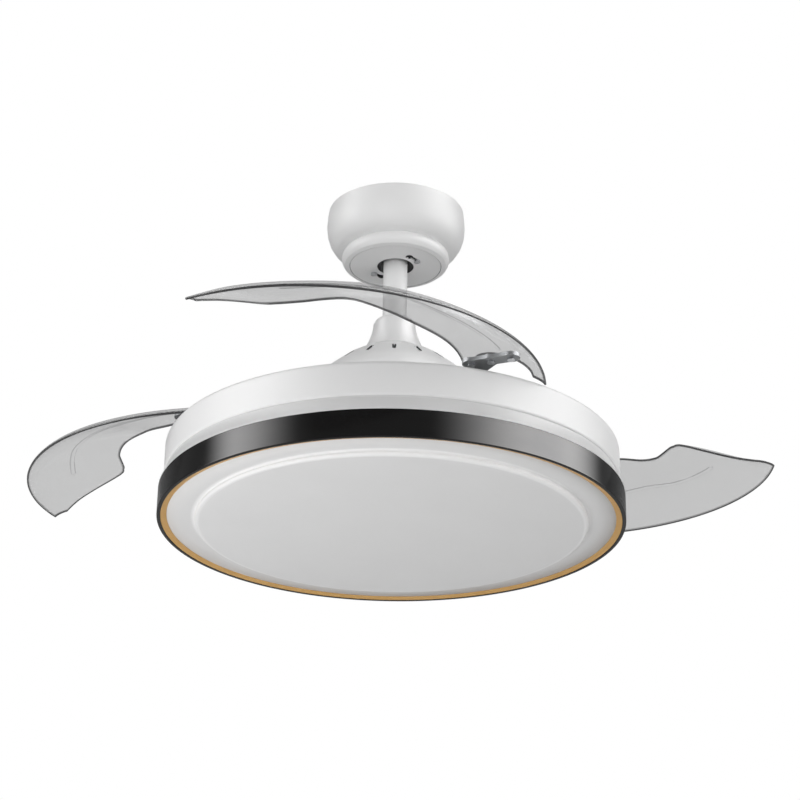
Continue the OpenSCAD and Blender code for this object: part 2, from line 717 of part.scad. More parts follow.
module plate_screws() {
    color(steel) at_plate_screws() translate([0, 0, up(rotor_h + rotor_flange_t)])
        screw(plate_screw_r, rotor_flange_t + plate_t, 3.6, 2.2);
}

// Return springs: a coil round each hub with one leg to the folded-side post
spring_coil_r = hub_r - 1.6;
spring_sides = 6;
spring_steps = 16;                        // rings in a turn
spring_foot_h = arm_h + arm_t + 0.4 + spring_wire_r;
spring_pitch = (guide_h - seat_gap / 2 - spring_wire_r - spring_foot_h) / spring_turns;

function spring_route() = let (
    n = spring_turns * spring_steps,
    coil = [for (i = [0:n]) let (a = post_angles[0] + 90 + 360 * i / spring_steps)
        [pivot_r + spring_coil_r * cos(a), spring_coil_r * sin(a),
         up(spring_foot_h + spring_pitch * i / spring_steps)]],
    leg = post_reach - post_r - spring_wire_r - seat_gap,
    d0 = polar(1, post_angles[0]))
    concat([[coil[0][0] + d0[0] * leg, coil[0][1] + d0[1] * leg, coil[0][2]]], coil);

function unit(v) = v / norm(v);

// Skin of a round tube along a route
module tube(route, r, sides) {
    n = len(route);
    points = [for (i = [0:n - 1]) let (
            d = unit(route[min(i + 1, n - 1)] - route[max(i - 1, 0)]),
            u = unit(cross(d, [0, 0, 1])), v = cross(u, d))
        for (k = [0:sides - 1]) route[i] + r * (cos(360 * k / sides) * u + sin(360 * k / sides) * v)];
    faces = concat(
        [[for (k = [0:sides - 1]) k]],
        [for (i = [0:n - 2], k = [0:sides - 1], half = [0, 1]) let (
            a = i * sides + k, b = i * sides + (k + 1) % sides)
            half == 0 ? [a, a + sides, b] : [b, a + sides, b + sides]],
        [[for (k = [sides - 1:-1:0]) (n - 1) * sides + k]]);
    polyhedron(points = points, faces = faces, convexity = 6);
}

module return_springs() {
    color(steel) at_pivots() tube(spring_route(), spring_wire_r, spring_sides);
}

// ---------- blades ----------

notch_s = 0.085;                          // depth of the arch in the root
notch_t = [0.14, 0.86];                   // where the arch starts and ends across the blade

// Smooth curve through knots, with slopes taken from the neighbours
function knot_slope(k, i) = (k[min(i + 1, len(k) - 1)][1] - k[max(i - 1, 0)][1])
    / (k[min(i + 1, len(k) - 1)][0] - k[max(i - 1, 0)][0]);
function knot_at(k, x, i = 0) = i >= len(k) - 2 || x < k[i + 1][0] ? i : knot_at(k, x, i + 1);
function curve(k, x) = let (i = knot_at(k, x), w = k[i + 1][0] - k[i][0], u = (x - k[i][0]) / w)
    k[i][1] * (1 + 2 * u) * pow(1 - u, 2) + k[i + 1][1] * u * u * (3 - 2 * u)
    + w * knot_slope(k, i) * u * pow(1 - u, 2) - w * knot_slope(k, i + 1) * u * u * (1 - u);

function chord(s) = blade_w * curve(chord_knots, s);
function pitch(s) = blade_pitch + curve(twist_knots, s);
function rise(t) = pow(max(0, 1 - pow(1 - t, edge_roll)), 1 / edge_roll);
function edge_r(s) = blade_r + edge_flare * s * (0.4 + 0.6 * s) - edge_curl * pow(s, 7);

// Plan place of a folded blade's point: s runs from root to tip, t from outer to inner edge
function blade_plan(s, t) = polar(edge_r(s) - chord(s) * t, -root_lag - blade_span * s);
function blade_mid(s, t) = concat(blade_plan(s, t), [up(blade_edge_h + chord(s) * tan(pitch(s)) * rise(t))]);
function blade_normal(s, t) = let (e = 0.004, s0 = min(max(s, e), 1 - e), t0 = min(max(t, 0.02), 1 - e))
    unit(cross(blade_mid(s0 + e, t0) - blade_mid(s0 - e, t0), blade_mid(s0, t0 + e) - blade_mid(s0, t0 - e)));

blade_cols = 42;
blade_rows = 12;
function notch(t) = let (
    middle = (notch_t[0] + notch_t[1]) / 2,
    half = (notch_t[1] - notch_t[0]) / 2,
    d = (t - middle) / half)
    abs(d) < 1 ? notch_s * sqrt(1 - d * d) : 0;
// Place along the blade of grid column i, measured from the arched root, finer towards the tip
function col_s(i, t) = let (s0 = notch(t)) 1 - (1 - s0) * pow(1 - i / blade_cols, 1.3);
function row_t(j) = pow(j / blade_rows, 1.5);

module blade_sheet() {
    w = blade_rows + 1;
    grid = [for (i = [0:blade_cols], j = [0:blade_rows]) [col_s(i, row_t(j)), row_t(j)]];
    half_t = blade_t / 2;
    top = [for (g = grid) blade_mid(g[0], g[1]) - half_t * blade_normal(g[0], g[1])];
    bottom = [for (g = grid) blade_mid(g[0], g[1]) + half_t * blade_normal(g[0], g[1])];
    n = len(grid);
    // Rim of the grid, once round
    rim = concat([for (i = [0:blade_cols - 1]) i * w],
                 [for (j = [0:blade_rows - 1]) blade_cols * w + j],
                 [for (i = [blade_cols:-1:1]) i * w + blade_rows],
                 [for (j = [blade_rows:-1:1]) j]);
    faces = concat(
        [for (i = [0:blade_cols - 1], j = [0:blade_rows - 1], half = [0, 1])
            let (a = i * w + j, b = a + w) half == 0 ? [a, b, a + 1] : [a + 1, b, b + 1]],
        [for (i = [0:blade_cols - 1], j = [0:blade_rows - 1], half = [0, 1])
            let (a = n + i * w + j, b = a + w) half == 0 ? [a, a + 1, b] : [a + 1, b + 1, b]],
        [for (k = [0:len(rim) - 1], half = [0, 1])
            let (a = rim[k], b = rim[(k + 1) % len(rim)]) half == 0 ? [a, n + a, b] : [b, n + a, n + b]]);
    polyhedron(points = concat(top, bottom), faces = faces, convexity = 8);
}

boss_r = 5;
pad_r = 9;                                // rounding of the arm's pad round a boss
pad_w = 1.8 * pad_r;                      // width of the pad between bosses
boss_screw_r = 2;
boss_foot_h = arm_h + arm_t;

// Puts something at each boss, at height h above the lip
module at_bosses(h) {
    for (t = boss_t) translate(concat(blade_plan(boss_s, t), [up(h)])) children();
}

module blade(i) {
    color(smoke) at_rest(i) {
        blade_sheet();
        // Bosses from the arm up to the sheet's middle surface
        for (t = boss_t) translate(concat(blade_plan(boss_s, t), [up(boss_foot_h)]))
            cylinder(r = boss_r, h = blade_mid(boss_s, t)[2] - up(boss_foot_h), $fn = 24);
    }
}

module arm(i) {
    hub_bore = pivot_pin_r + bush_wall + running_gap;
    color(zinc) at_rest(i) difference() {
        union() {
            translate([pivot_r, 0, up(hub_h)]) cylinder(r = hub_r, h = boss_foot_h - hub_h);
            translate([pivot_r, 0, up(hub_h)]) cylinder(r = hub_r - 4, h = hub_t);
            translate([0, 0, up(arm_h)]) linear_extrude(arm_t) {
                translate([pivot_r, 0]) rotate(arm_az) web(arm_w, pad_w, arm_reach, 0.6);
                for (k = [0, 1]) {
                    a = blade_plan(boss_s, boss_t[k]);
                    b = blade_plan(boss_s, boss_t[k + 1]);
                    translate(a) rotate(atan2(b[1] - a[1], b[0] - a[0])) web(pad_w, pad_w, norm(b - a));
                }
                for (t = boss_t) translate(blade_plan(boss_s, t)) circle(r = pad_r);
            }
        }
        translate([pivot_r, 0, up(hub_h) - cut]) cylinder(r = hub_bore, h = hub_t + 2 * cut);
        at_bosses(arm_h - cut) cylinder(r = boss_screw_r + running_gap, h = arm_t + 2 * cut, $fn = 32);
    }
}

module bush(i) {
    color([0.72, 0.55, 0.30]) at_rest(i) translate([pivot_r, 0, up(hub_h)])
        ring(pivot_pin_r + bush_wall, pivot_pin_r + running_gap, hub_t);
}

module blade_screws(i) {
    color(steel) at_rest(i) at_bosses(arm_h) rotate([180, 0, 0])
        screw(boss_screw_r, arm_t, 2 * boss_screw_r, 2.2);
}

module blade_a() { blade(0); }
module blade_b() { blade(1); }
module blade_c() { blade(2); }
module arm_a() { arm(0); }
module arm_b() { arm(1); }
module arm_c() { arm(2); }
module bush_a() { bush(0); }
module bush_b() { bush(1); }
module bush_c() { bush(2); }
module blade_screws_a() { blade_screws(0); }
module blade_screws_b() { blade_screws(1); }
module blade_screws_c() { blade_screws(2); }

// ---------- lamp ----------

band_foot_r = body_r - lip_w;             // where the dark lip meets the gold ring
gold_in_r = band_foot_r - gold_w;
lip_t = 1.4;                              // thickness of the band's lip
gold_step = 0.8;                          // thickness of the gold ring where it lies on the lip
well_r = plate_r + 7;
cover_clip_az = [30, 150, 270];           // directions of the clips and lugs

fold_in = 1.5;                            // depth of the fold between wall and cove
module lamp_drum() {
    edge = 5;                             // rounding of the drum's top edge
    cove_w = body_r - drum_r + fold_in;
    path = concat(
        [[shaft_r, up(well_h)], [well_r - 3, up(well_h)], [well_r + 1, up(drum_top_h)]],
        arc(drum_r - edge, up(drum_top_h - edge), edge, 90, 0, 5),
        [[drum_r, up(cove_h + 2 * fold_in)], [drum_r - fold_in, up(cove_h)]],
        [for (a = [18:18:90]) [body_r - cove_w * cos(a), up(cove_h - (cove_h - band_h - fold_in) * sin(a))]],
        [[body_r, up(band_h + seat_gap)]]);
    color(white) rotate_extrude($fn = 144) polygon(wall_points(path, drum_wall));
}

module shaft_nut() {
    color(steel) translate([0, 0, up(well_h - drum_wall - nut_t)]) difference() {
        cylinder(r = shaft_r + 6, h = nut_t, $fn = 6);
        translate([0, 0, -cut]) cylinder(r = shaft_r, h = nut_t + 2 * cut);
    }
}

plate_level = cove_h - 5;                 // underside of the sheet that carries the light board
light_plate_t = 1.2;
module light_plate() {
    color(white) translate([0, 0, up(plate_level)])
        ring(drum_r - fold_in - drum_wall - seat_gap, shaft_r + 4, light_plate_t);
}

board_t = 1.6;
chip_size = [4, 4, 1];
chip_rows = 4;                            // circles of chips, the outer one full
module light_board() {
    color([0.93, 0.94, 0.90]) translate([0, 0, up(plate_level - board_t)]) {
        ring(board_r, shaft_r + 8, board_t);
        for (row = [1:chip_rows]) let (n = round(chip_count * row / chip_rows))
            for (i = [0:n - 1]) rotate([0, 0, 360 * i / n])
                translate([board_r * (row / chip_rows - 0.05), 0, -chip_size[2] / 2])
                cube(chip_size, center = true);
    }
}

driver_size = [120, 42, 26];
driver_y = 60;                            // distance of the driver from the axis
module light_driver() {
    slit = [3, 24];                       // cooling slits in the driver's case
    slit_pitch = 12;
    color([0.90, 0.90, 0.88])
        translate([-driver_size[0] / 2, driver_y, up(plate_level + light_plate_t)]) difference() {
            cube(driver_size);
            for (i = [-3.5:3.5])
                translate([driver_size[0] / 2 + slit_pitch * i, driver_size[1] / 2, driver_size[2]])
                cube([slit[0], slit[1], 2], center = true);
        }
}

// Three clips that the lugs of the trim band turn over
clip_w = 18;
clip_t = 2;
lug_h = band_h - 9;                       // underside of a lug
lug_t = 2.5;
lug_w = 12;
lug_r = body_r - band_wall - 10;          // inner end of a lug
hook_t = 2.2;
module cover_clips() {
    wall_r = lug_r - 1 - clip_t;
    foot_h = lug_h - seat_gap - hook_t;
    color(zinc) for (a = cover_clip_az) rotate([0, 0, a]) translate([wall_r, -clip_w / 2, up(foot_h)]) {
        // Wall down from the light plate, then a hook outwards under the lug
        cube([clip_t, clip_w, plate_level - foot_h]);
        cube([clip_t + 7, clip_w, hook_t]);
    }
}

module trim_band() {
    color(dark_chrome) {
        rotate_extrude($fn = 144) polygon([
            [body_r, up(0)], [body_r, up(band_h)], [body_r - band_wall, up(band_h)],
            [body_r - band_wall, up(lip_t)], [band_foot_r, up(lip_t)], [band_foot_r, up(0)]]);
        for (a = cover_clip_az) rotate([0, 0, a]) translate([lug_r, -lug_w / 2, up(lug_h)])
            cube([body_r - band_wall / 2 - lug_r, lug_w, lug_t]);
    }
}

module gold_ring() {
    rim = body_r - band_wall - seat_gap;
    edge = band_foot_r - 0.2;
    color(gold) rotate_extrude($fn = 144) polygon([
        [edge, up(0.4)], [gold_in_r, up(gold_rise)], [gold_in_r, up(flange_h)],
        [gold_in_r + 2, up(flange_h)], [edge - 0.8, up(lip_t + gold_step)],
        [rim, up(lip_t + gold_step)], [rim, up(lip_t)], [edge, up(lip_t)]]);
}

module diffuser() {
    roll = 3.2;                           // rounding of the face's edge
    fillet = 2;                           // rounding between flange and face
    face_h = -face_drop;
    crown_r = face_r - roll;
    path = concat(
        [[gold_in_r + 4, up(flange_h)], [face_r + 2 * fillet, up(flange_h)]],
        arc(face_r + fillet / 2, up(flange_h - fillet), fillet, 90, 180, 3),
        arc(crown_r, up(face_h + roll), roll, 0, -80, 5),
        [for (i = [1:8]) let (r = (crown_r - 0.5) * (1 - i / 8))
            [r, up(face_h - face_crown * (1 - pow(r / crown_r, 2)))]]);
    color([0.93, 0.93, 0.93]) rotate_extrude($fn = 144) polygon(wall_points(path, face_t));
}

mounting_bracket();
receiver_box();
terminal_block();
canopy_screws();
canopy();
hanger_ball();
ball_pin();
downrod();
shaft_coupling();
coupling_pin();
set_screws();
motor_shaft();
stator_core();
stator_windings();
motor_cover();
cover_screws();
lamp_drum();
shaft_nut();
light_plate();
light_board();
light_driver();
cover_clips();
coupling_cover();
trim_band();
gold_ring();
diffuser();
rotor_shell();
rotor_magnets();
upper_bearing();
lower_bearing();
carrier_plate();
guide_plate();
stop_posts();
stop_sleeves();
pivot_pins();
return_springs();
plate_screws();
blade_a();
blade_b();
blade_c();
arm_a();
arm_b();
arm_c();
bush_a();
bush_b();
bush_c();
blade_screws_a();
blade_screws_b();
blade_screws_c();
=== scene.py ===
"""Looks of a retractable blade ceiling fan with a round lamp, dressed over its packed construction.

Metres, +Z up, origin on the ceiling plane on the fan's axis. New pieces are surfaces worked out with numpy, which
take their places from the frame. The other nodes keep their mesh and get a finish, those in view as a smooth copy.
"""
import json

import bmesh
import bpy
import numpy as np
from mathutils import Matrix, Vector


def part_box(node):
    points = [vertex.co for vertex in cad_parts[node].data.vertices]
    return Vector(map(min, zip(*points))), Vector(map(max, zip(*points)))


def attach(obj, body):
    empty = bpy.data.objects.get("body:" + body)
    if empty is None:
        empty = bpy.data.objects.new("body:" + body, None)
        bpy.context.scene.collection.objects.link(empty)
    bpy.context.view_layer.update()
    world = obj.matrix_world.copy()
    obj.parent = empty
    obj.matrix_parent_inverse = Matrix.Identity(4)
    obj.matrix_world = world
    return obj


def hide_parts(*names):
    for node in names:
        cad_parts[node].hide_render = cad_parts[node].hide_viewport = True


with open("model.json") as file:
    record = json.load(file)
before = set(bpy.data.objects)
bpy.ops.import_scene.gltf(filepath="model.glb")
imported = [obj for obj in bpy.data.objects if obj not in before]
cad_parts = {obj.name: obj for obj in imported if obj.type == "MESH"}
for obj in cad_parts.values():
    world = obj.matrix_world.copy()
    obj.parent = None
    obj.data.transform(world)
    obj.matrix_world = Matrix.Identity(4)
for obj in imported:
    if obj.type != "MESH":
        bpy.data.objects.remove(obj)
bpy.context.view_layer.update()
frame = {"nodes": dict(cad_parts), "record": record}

MM = 0.001
RECORD_SLOT = {s["node"]: s["material_slot"] for s in frame["record"]["subparts"]}
BODY_OF = {n: b for b, nodes in frame["record"]["behaviour"]["bodies"].items() for n in nodes}

# ---------- measures, from the frame ----------

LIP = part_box("trim_band")[0].z                  # lower edge of the trim band
BODY_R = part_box("trim_band")[1].x
BAND_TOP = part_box("trim_band")[1].z
DRUM_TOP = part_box("lamp_drum")[1].z
BELL_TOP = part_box("coupling_cover")[1].z
BELL_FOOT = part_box("coupling_cover")[0].z
BELL_FOOT_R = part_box("coupling_cover")[1].x
ROD_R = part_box("downrod")[1].x
DIFFUSER_R = 210 * MM                           # edge of the diffuser's raised face
LIP_T = 1.4 * MM                                # the trim band's lip, on which the gold ring lies


def level(height):
    """A height above the band's lip, as a height in the frame."""
    return LIP + height


# ---------- finishes ----------

class Value:
    """A socket that carries a number. Python's operators on it add Math nodes."""

    def __init__(self, finish, socket):
        self.finish, self.socket = finish, socket

    def math(self, operation, *values):
        """The result of a Math node."""
        return self.finish.node("ShaderNodeMath", values, operation=operation)

    def __add__(self, other):
        return self.math("ADD", self, other)

    __radd__ = __add__

    def __sub__(self, other):
        return self.math("SUBTRACT", self, other)

    def __rsub__(self, other):
        return self.math("SUBTRACT", other, self)

    def __mul__(self, other):
        return self.math("MULTIPLY", self, other)

    __rmul__ = __mul__

    def __pow__(self, other):
        return self.math("POWER", self, other)

    def sine(self):
        return self.math("SINE", self)

    def absolute(self):
        return self.math("ABSOLUTE", self)

    def above(self, other):
        return self.math("GREATER_THAN", self, other)

    def smooth(self, low, high):
        """0 below low, 1 above high, with soft ends."""
        return self.finish.node("ShaderNodeMapRange", {0: self, 1: low, 2: high, 3: 0.0, 4: 1.0},
                                interpolation_type="SMOOTHSTEP")


class Finish:
    """A material or a world, and the nodes that are added to it."""

    def __init__(self, block):
        block.use_nodes = True
        self.block, self.tree = block, block.node_tree
        self.tree.nodes.clear()

    def node(self, kind, values=(), out=0, **settings):
        """Adds a node: settings first, then values or links of its sockets, by place or by name."""
        made = self.tree.nodes.new(kind)
        for name, setting in settings.items():
            setattr(made, name, setting)
        for key, value in values.items() if isinstance(values, dict) else enumerate(values):
            socket = made.inputs[key]
            if isinstance(value, Value):
                self.tree.links.new(value.socket, socket)
            else:
                wants = len(socket.default_value) if hasattr(socket.default_value, "__len__") else 0
                socket.default_value = (*value, 1)[:wants] if wants else value
        return Value(self, made.outputs[out]) if made.outputs else None

    def place(self, stretch=(1, 1, 1)):
        """Object coordinates, stretched along each axis."""
        where = self.node("ShaderNodeTexCoord", out="Object")
        return self.node("ShaderNodeMapping", {"Vector": where, "Scale": stretch})

    def axes(self, vector):
        """The three parts of a vector, as numbers."""
        split = self.node("ShaderNodeSeparateXYZ", [vector])
        return [Value(self, split.socket.node.outputs[i]) for i in range(3)]

    def round_place(self):
        """Distance from the fan's axis, and height."""
        x, y, z = self.axes(self.place())
        return (x * x + y * y) ** 0.5, z

    def noise(self, scale, detail=2.0, rough=0.5, stretch=(1, 1, 1)):
        """Soft random pattern from 0 to 1, with about `scale` lumps a metre."""
        return self.node("ShaderNodeTexNoise", {"Vector": self.place(stretch), "Scale": scale, "Detail": detail,
                                                "Roughness": rough})

    def cells(self, scale):
        """Distance to the nearest of scattered points, about `scale` of them a metre."""
        return self.node("ShaderNodeTexVoronoi", {"Vector": self.place(), "Scale": scale})

    def mix(self, share, low, high):
        """Colour between low and high."""
        return self.node("ShaderNodeMix", {0: share, 6: low, 7: high}, out=2, data_type="RGBA")

    def bump(self, height, depth):
        """Normal of a relief that is `depth` metres deep."""
        return self.node("ShaderNodeBump", {"Strength": 1.0, "Distance": depth, "Height": height})

    def surface(self, **values):
        """Principled shader on the surface; keys are socket names with _ for spaces."""
        named = {key.replace("_", " "): value for key, value in values.items()}
        shader = self.node("ShaderNodeBsdfPrincipled", named)
        self.node("ShaderNodeOutputMaterial", {"Surface": shader})
        return self


def material(name):
    """An empty finish in a new material."""
    return Finish(bpy.data.materials.new(name))


def darker(colour, share):
    """A colour with each part cut to a share of it."""
    return [c * share for c in colour]


def paint(name, colour, rough, orange_peel=0.00002):
    """Sprayed coat: fine orange peel and a slow change of shade."""
    f = material(name)
    return f.surface(Base_Color=f.mix(f.noise(9, 3), darker(colour, 0.98), colour),
                     Roughness=rough - 0.06 + f.noise(60, 2) * 0.12, Specular_IOR_Level=0.4,
                     Normal=f.bump(f.noise(900, 2, 0.6) + f.noise(260, 1) * 0.6, orange_peel))


def plastic(name, colour, rough, grain=0.00003, scale=1400):
    """Moulded plastic: fine spark texture and slightly uneven gloss."""
    f = material(name)
    return f.surface(Base_Color=f.mix(f.noise(30, 3), darker(colour, 0.94), colour),
                     Roughness=rough + f.noise(120, 2) * 0.1 - 0.05, Normal=f.bump(f.noise(scale, 3, 0.65), grain))


def metal(name, colour, rough, stretch=(1, 1, 1), scale=420, depth=0.00002, blotch=0.12):
    """Bare or plated metal: brush or grain lines along the short side of `stretch`, and blotches of gloss."""
    f = material(name)
    lines = f.noise(scale, 4, 0.7, stretch)
    dull = f.noise(38, 3, 0.6)
    return f.surface(Base_Color=f.mix(lines * 0.6 + dull * 0.4, darker(colour, 1 - blotch), colour), Metallic=1.0,
                     Roughness=rough + (dull - 0.5) * 0.16 + (lines - 0.5) * 0.08, Normal=f.bump(lines, depth))


def zinc_spangle(name, colour):
    """Zinc plate: soft crystals that differ in shade and gloss."""
    f = material(name)
    crystal = f.cells(140)
    fine = f.noise(700, 3, 0.6)
    return f.surface(Base_Color=f.mix(crystal * 1.4, darker(colour, 0.82), colour), Metallic=1.0,
                     Roughness=0.34 + crystal * 0.2 + fine * 0.06, Normal=f.bump(fine, 0.00002))


def laminated(name, colour):
    """Stack of thin sheets: a groove at each half millimetre of height."""
    f = material(name)
    z = f.axes(f.place())[2]
    groove = (z * (2 * np.pi / (0.5 * MM))).sine()
    return f.surface(Base_Color=f.mix(groove * 0.5 + 0.5, darker(colour, 0.6), colour), Metallic=1.0,
                     Roughness=0.45 + f.noise(300, 2) * 0.1, Normal=f.bump(groove, 0.00006))


def wound(name, colour):
    """Enamelled wire laid in turns: a round ridge each 0.7 mm along the radius and the height."""
    f = material(name)
    radius, z = f.round_place()
    pitch = 2 * np.pi / (0.7 * MM)
    ridge = (radius * pitch).sine().absolute() * 0.7 + (z * pitch).sine().absolute() * 0.3
    return f.surface(Base_Color=f.mix(ridge, darker(colour, 0.5), colour), Metallic=0.9,
                     Roughness=0.3 + f.noise(200, 2) * 0.1, Coat_Weight=0.4, Normal=f.bump(ridge, 0.0002))


def dark_mirror(name):
    """Dark chrome: almost black mirror with faint haze where it was wiped."""
    f = material(name)
    haze = f.noise(14, 4, 0.6, (1, 1, 3))
    return f.surface(Base_Color=f.mix(haze, (0.040, 0.040, 0.041), (0.052, 0.051, 0.050)), Metallic=1.0,
                     Roughness=0.10 + haze * 0.08, Normal=f.bump(f.noise(1500, 2), 0.000002))


def satin_gold(name):
    """Satin gold lacquer over plate, with a fine turning line each quarter millimetre along the radius."""
    f = material(name)
    radius = f.round_place()[0]
    line = (radius * (2 * np.pi / (0.25 * MM))).sine()
    tone = f.noise(40, 3)
    return f.surface(Base_Color=f.mix(tone, (0.76, 0.44, 0.14), (0.82, 0.50, 0.19)), Metallic=0.4,
                     Roughness=0.34 + tone * 0.08 + line * 0.02, Normal=f.bump(line, 0.000004))


def opal(name):
    """Milky diffuser sheet: satin, with fine clouding. The bend round the face is painted paler, a painted
    highlight, and the flange a little greyer than the face, painted shade.
    """
    f = material(name)
    cloud = f.noise(16, 4, 0.55)
    radius = f.round_place()[0]
    # Paler bend round the face: painted highlight. Greyer flange: painted shade.
    painted_bend_highlight = radius.smooth(DIFFUSER_R - 6 * MM, DIFFUSER_R - 3 * MM)
    flange = radius.smooth(DIFFUSER_R + 1 * MM, DIFFUSER_R + 5 * MM)
    face = f.mix(painted_bend_highlight, f.mix(cloud, (0.80, 0.80, 0.80), (0.835, 0.835, 0.835)), (0.93, 0.93, 0.93))
    return f.surface(Base_Color=f.mix(flange, face, (0.785, 0.785, 0.785)), Roughness=0.36 + cloud * 0.08, IOR=1.49,
                     Normal=f.bump(f.noise(1100, 2), 0.00001))


def smoke_clear(name):
    """Clear smoke-grey plastic: each face of the sheet holds back a share of the light, more where the light
    crosses it at a slant."""
    f = material(name)
    haze = f.noise(18, 3, 0.5)
    slant = f.node("ShaderNodeLayerWeight", {"Blend": 0.5}, out=1)
    return f.surface(Base_Color=f.mix(haze, (0.16, 0.16, 0.165), (0.19, 0.19, 0.195)),
                     Alpha=0.29 + 0.4 * slant ** 10 + haze * 0.02,
                     Roughness=0.04 + haze * 0.04, IOR=1.5, Normal=f.bump(f.noise(14, 1), 0.00004))


def smoke_line(name):
    """Darker smoke-grey plastic where the sheet bends sharply, on a rib's flanks and dots and along a sheet's
    border: painted shade.
    """
    f = material(name)
    haze = f.noise(40, 2)
    return f.surface(Base_Color=f.mix(haze, (0.05, 0.05, 0.052), (0.08, 0.08, 0.083)), Alpha=0.46 + haze * 0.08,
                     Roughness=0.08 + haze * 0.06, IOR=1.5, Normal=f.bump(f.noise(60, 2), 0.00001))


def smoke_edge(name):
    """Cut edge of the smoke-grey plastic, which gathers the tint of the whole sheet and looks almost black."""
    f = material(name)
    streak = f.noise(55, 3, 0.6)
    return f.surface(Base_Color=f.mix(streak, (0.012, 0.012, 0.013), (0.035, 0.035, 0.036)),
                     Alpha=0.88 + streak * 0.12, Roughness=0.14 + streak * 0.1, IOR=1.5,
                     Normal=f.bump(f.noise(300, 2), 0.00001))


def bare_inside(name):
    """Near-black paint, dull and cloudy, inside the covers and on the bracket's cradle: painted shade for their
    dark insides.
    """
    f = material(name)
    cloud = f.noise(25, 4, 0.6)
    return f.surface(Base_Color=f.mix(cloud, (0.025, 0.025, 0.026), (0.06, 0.06, 0.062)),
                     Roughness=0.75 + cloud * 0.15, Normal=f.bump(f.noise(500, 2), 0.00003))


def circuit(name):
    """White solder mask, a little raised and yellower over the copper pads under it."""
    f = material(name)
    pads = f.cells(90).above(0.42)
    return f.surface(Base_Color=f.mix(pads, (0.84, 0.85, 0.82), (0.78, 0.79, 0.74)), Roughness=0.3 + pads * 0.15,
                     Normal=f.bump(pads, 0.00003))


# Maker and its values, for each material slot of the record. Four more finishes are given to some faces of a piece
# only: the cove's grey paint, the darker smoke-grey lines and the near-black inside paint are painted shade, and
# the near-black cut edge is the sheet's own tint.
MAKERS = {
    "white_paint": (paint, (0.80, 0.80, 0.80), 0.42),
    "white_sheet": (paint, (0.82, 0.82, 0.82), 0.55, 0.00003),
    # the cove's grey: a darker copy of the white paint, painted shade
    "cove_paint": (paint, (0.66, 0.66, 0.66), 0.42),
    "white_plastic": (plastic, (0.80, 0.80, 0.80), 0.36),
    "cream_plastic": (plastic, (0.78, 0.76, 0.66), 0.4),
    "black_plastic": (plastic, (0.035, 0.035, 0.04), 0.42),
    "rubber": (plastic, (0.02, 0.02, 0.02), 0.7, 0.00005, 900),
    "zinc_steel": (zinc_spangle, (0.52, 0.53, 0.54)),
    "bright_steel": (metal, (0.66, 0.67, 0.69), 0.26, (1, 1, 0.12)),
    "black_steel": (metal, (0.05, 0.05, 0.05), 0.4),
    "spring_steel": (metal, (0.52, 0.53, 0.55), 0.3),
    "cast_aluminium": (metal, (0.60, 0.61, 0.62), 0.46, (1, 1, 1), 650, 0.00008),
    "arm_aluminium": (metal, (0.40, 0.41, 0.42), 0.55, (1, 0.08, 1), 900),
    "magnet": (metal, (0.10, 0.10, 0.11), 0.5, (1, 1, 1), 500, 0.00004),
    "bronze": (metal, (0.58, 0.38, 0.16), 0.42, (1, 1, 1), 1200, 0.00003, 0.3),
    "core_steel": (laminated, (0.34, 0.35, 0.37)),
    "copper": (wound, (0.62, 0.26, 0.10)),
    "circuit_board": (circuit,),
    "dark_chrome": (dark_mirror,),
    "gold_trim": (satin_gold,),
    "milk_diffuser": (opal,),
    "smoke_clear": (smoke_clear,),
    "smoke_edge": (smoke_edge,),
    # darker lines where the blade sheet bends: painted shade
    "smoke_line": (smoke_line,),
    # near-black inside paint: painted shade
    "bare_inside": (bare_inside,),
}
FINISHES = {name: maker(name, *values) for name, (maker, *values) in MAKERS.items()}


# ---------- surfaces ----------

SHARP = 28                                      # degrees by which an edge turns that stays sharp
MERGE, CAD_MERGE = 0.002 * MM, 0.001 * MM       # points of a new piece, or of a node, this close are one


def give_finishes(mesh, node, others=()):
    """Gives a mesh the finish of a node's slot and then any others, before its faces are told which they have."""
    mesh.materials.clear()
    for finish in (RECORD_SLOT[node], *others):
        mesh.materials.append(FINISHES[finish].block)


def stand_in(name, mesh, node):
    """Puts a mesh in a node's place, on the same body and with the same slot."""
    made = bpy.data.objects.new(name, mesh)
    bpy.context.scene.collection.objects.link(made)
    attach(made, BODY_OF[node])
    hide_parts(node)


def piece(name, points, faces, node, others=(), finish=None):
    """A mesh from points and quads that stands for a node: doubles merged, faces turned outwards, shaded smooth.
    `finish` gives each face's finish: 0 for that of the node's slot, 1 and up for those in `others`."""
    mesh = bpy.data.meshes.new(name)
    mesh.from_pydata(points.tolist(), [], faces.tolist())
    give_finishes(mesh, node, others)
    if finish is not None:
        mesh.polygons.foreach_set("material_index", finish.astype(np.int32))
    shape = bmesh.new()
    shape.from_mesh(mesh)
    bmesh.ops.remove_doubles(shape, verts=shape.verts, dist=MERGE)
    bmesh.ops.recalc_face_normals(shape, faces=shape.faces)
    shape.to_mesh(mesh)
    shape.free()
    mesh.polygons.foreach_set("use_smooth", np.ones(len(mesh.polygons), bool))
    stand_in(name, mesh, node)


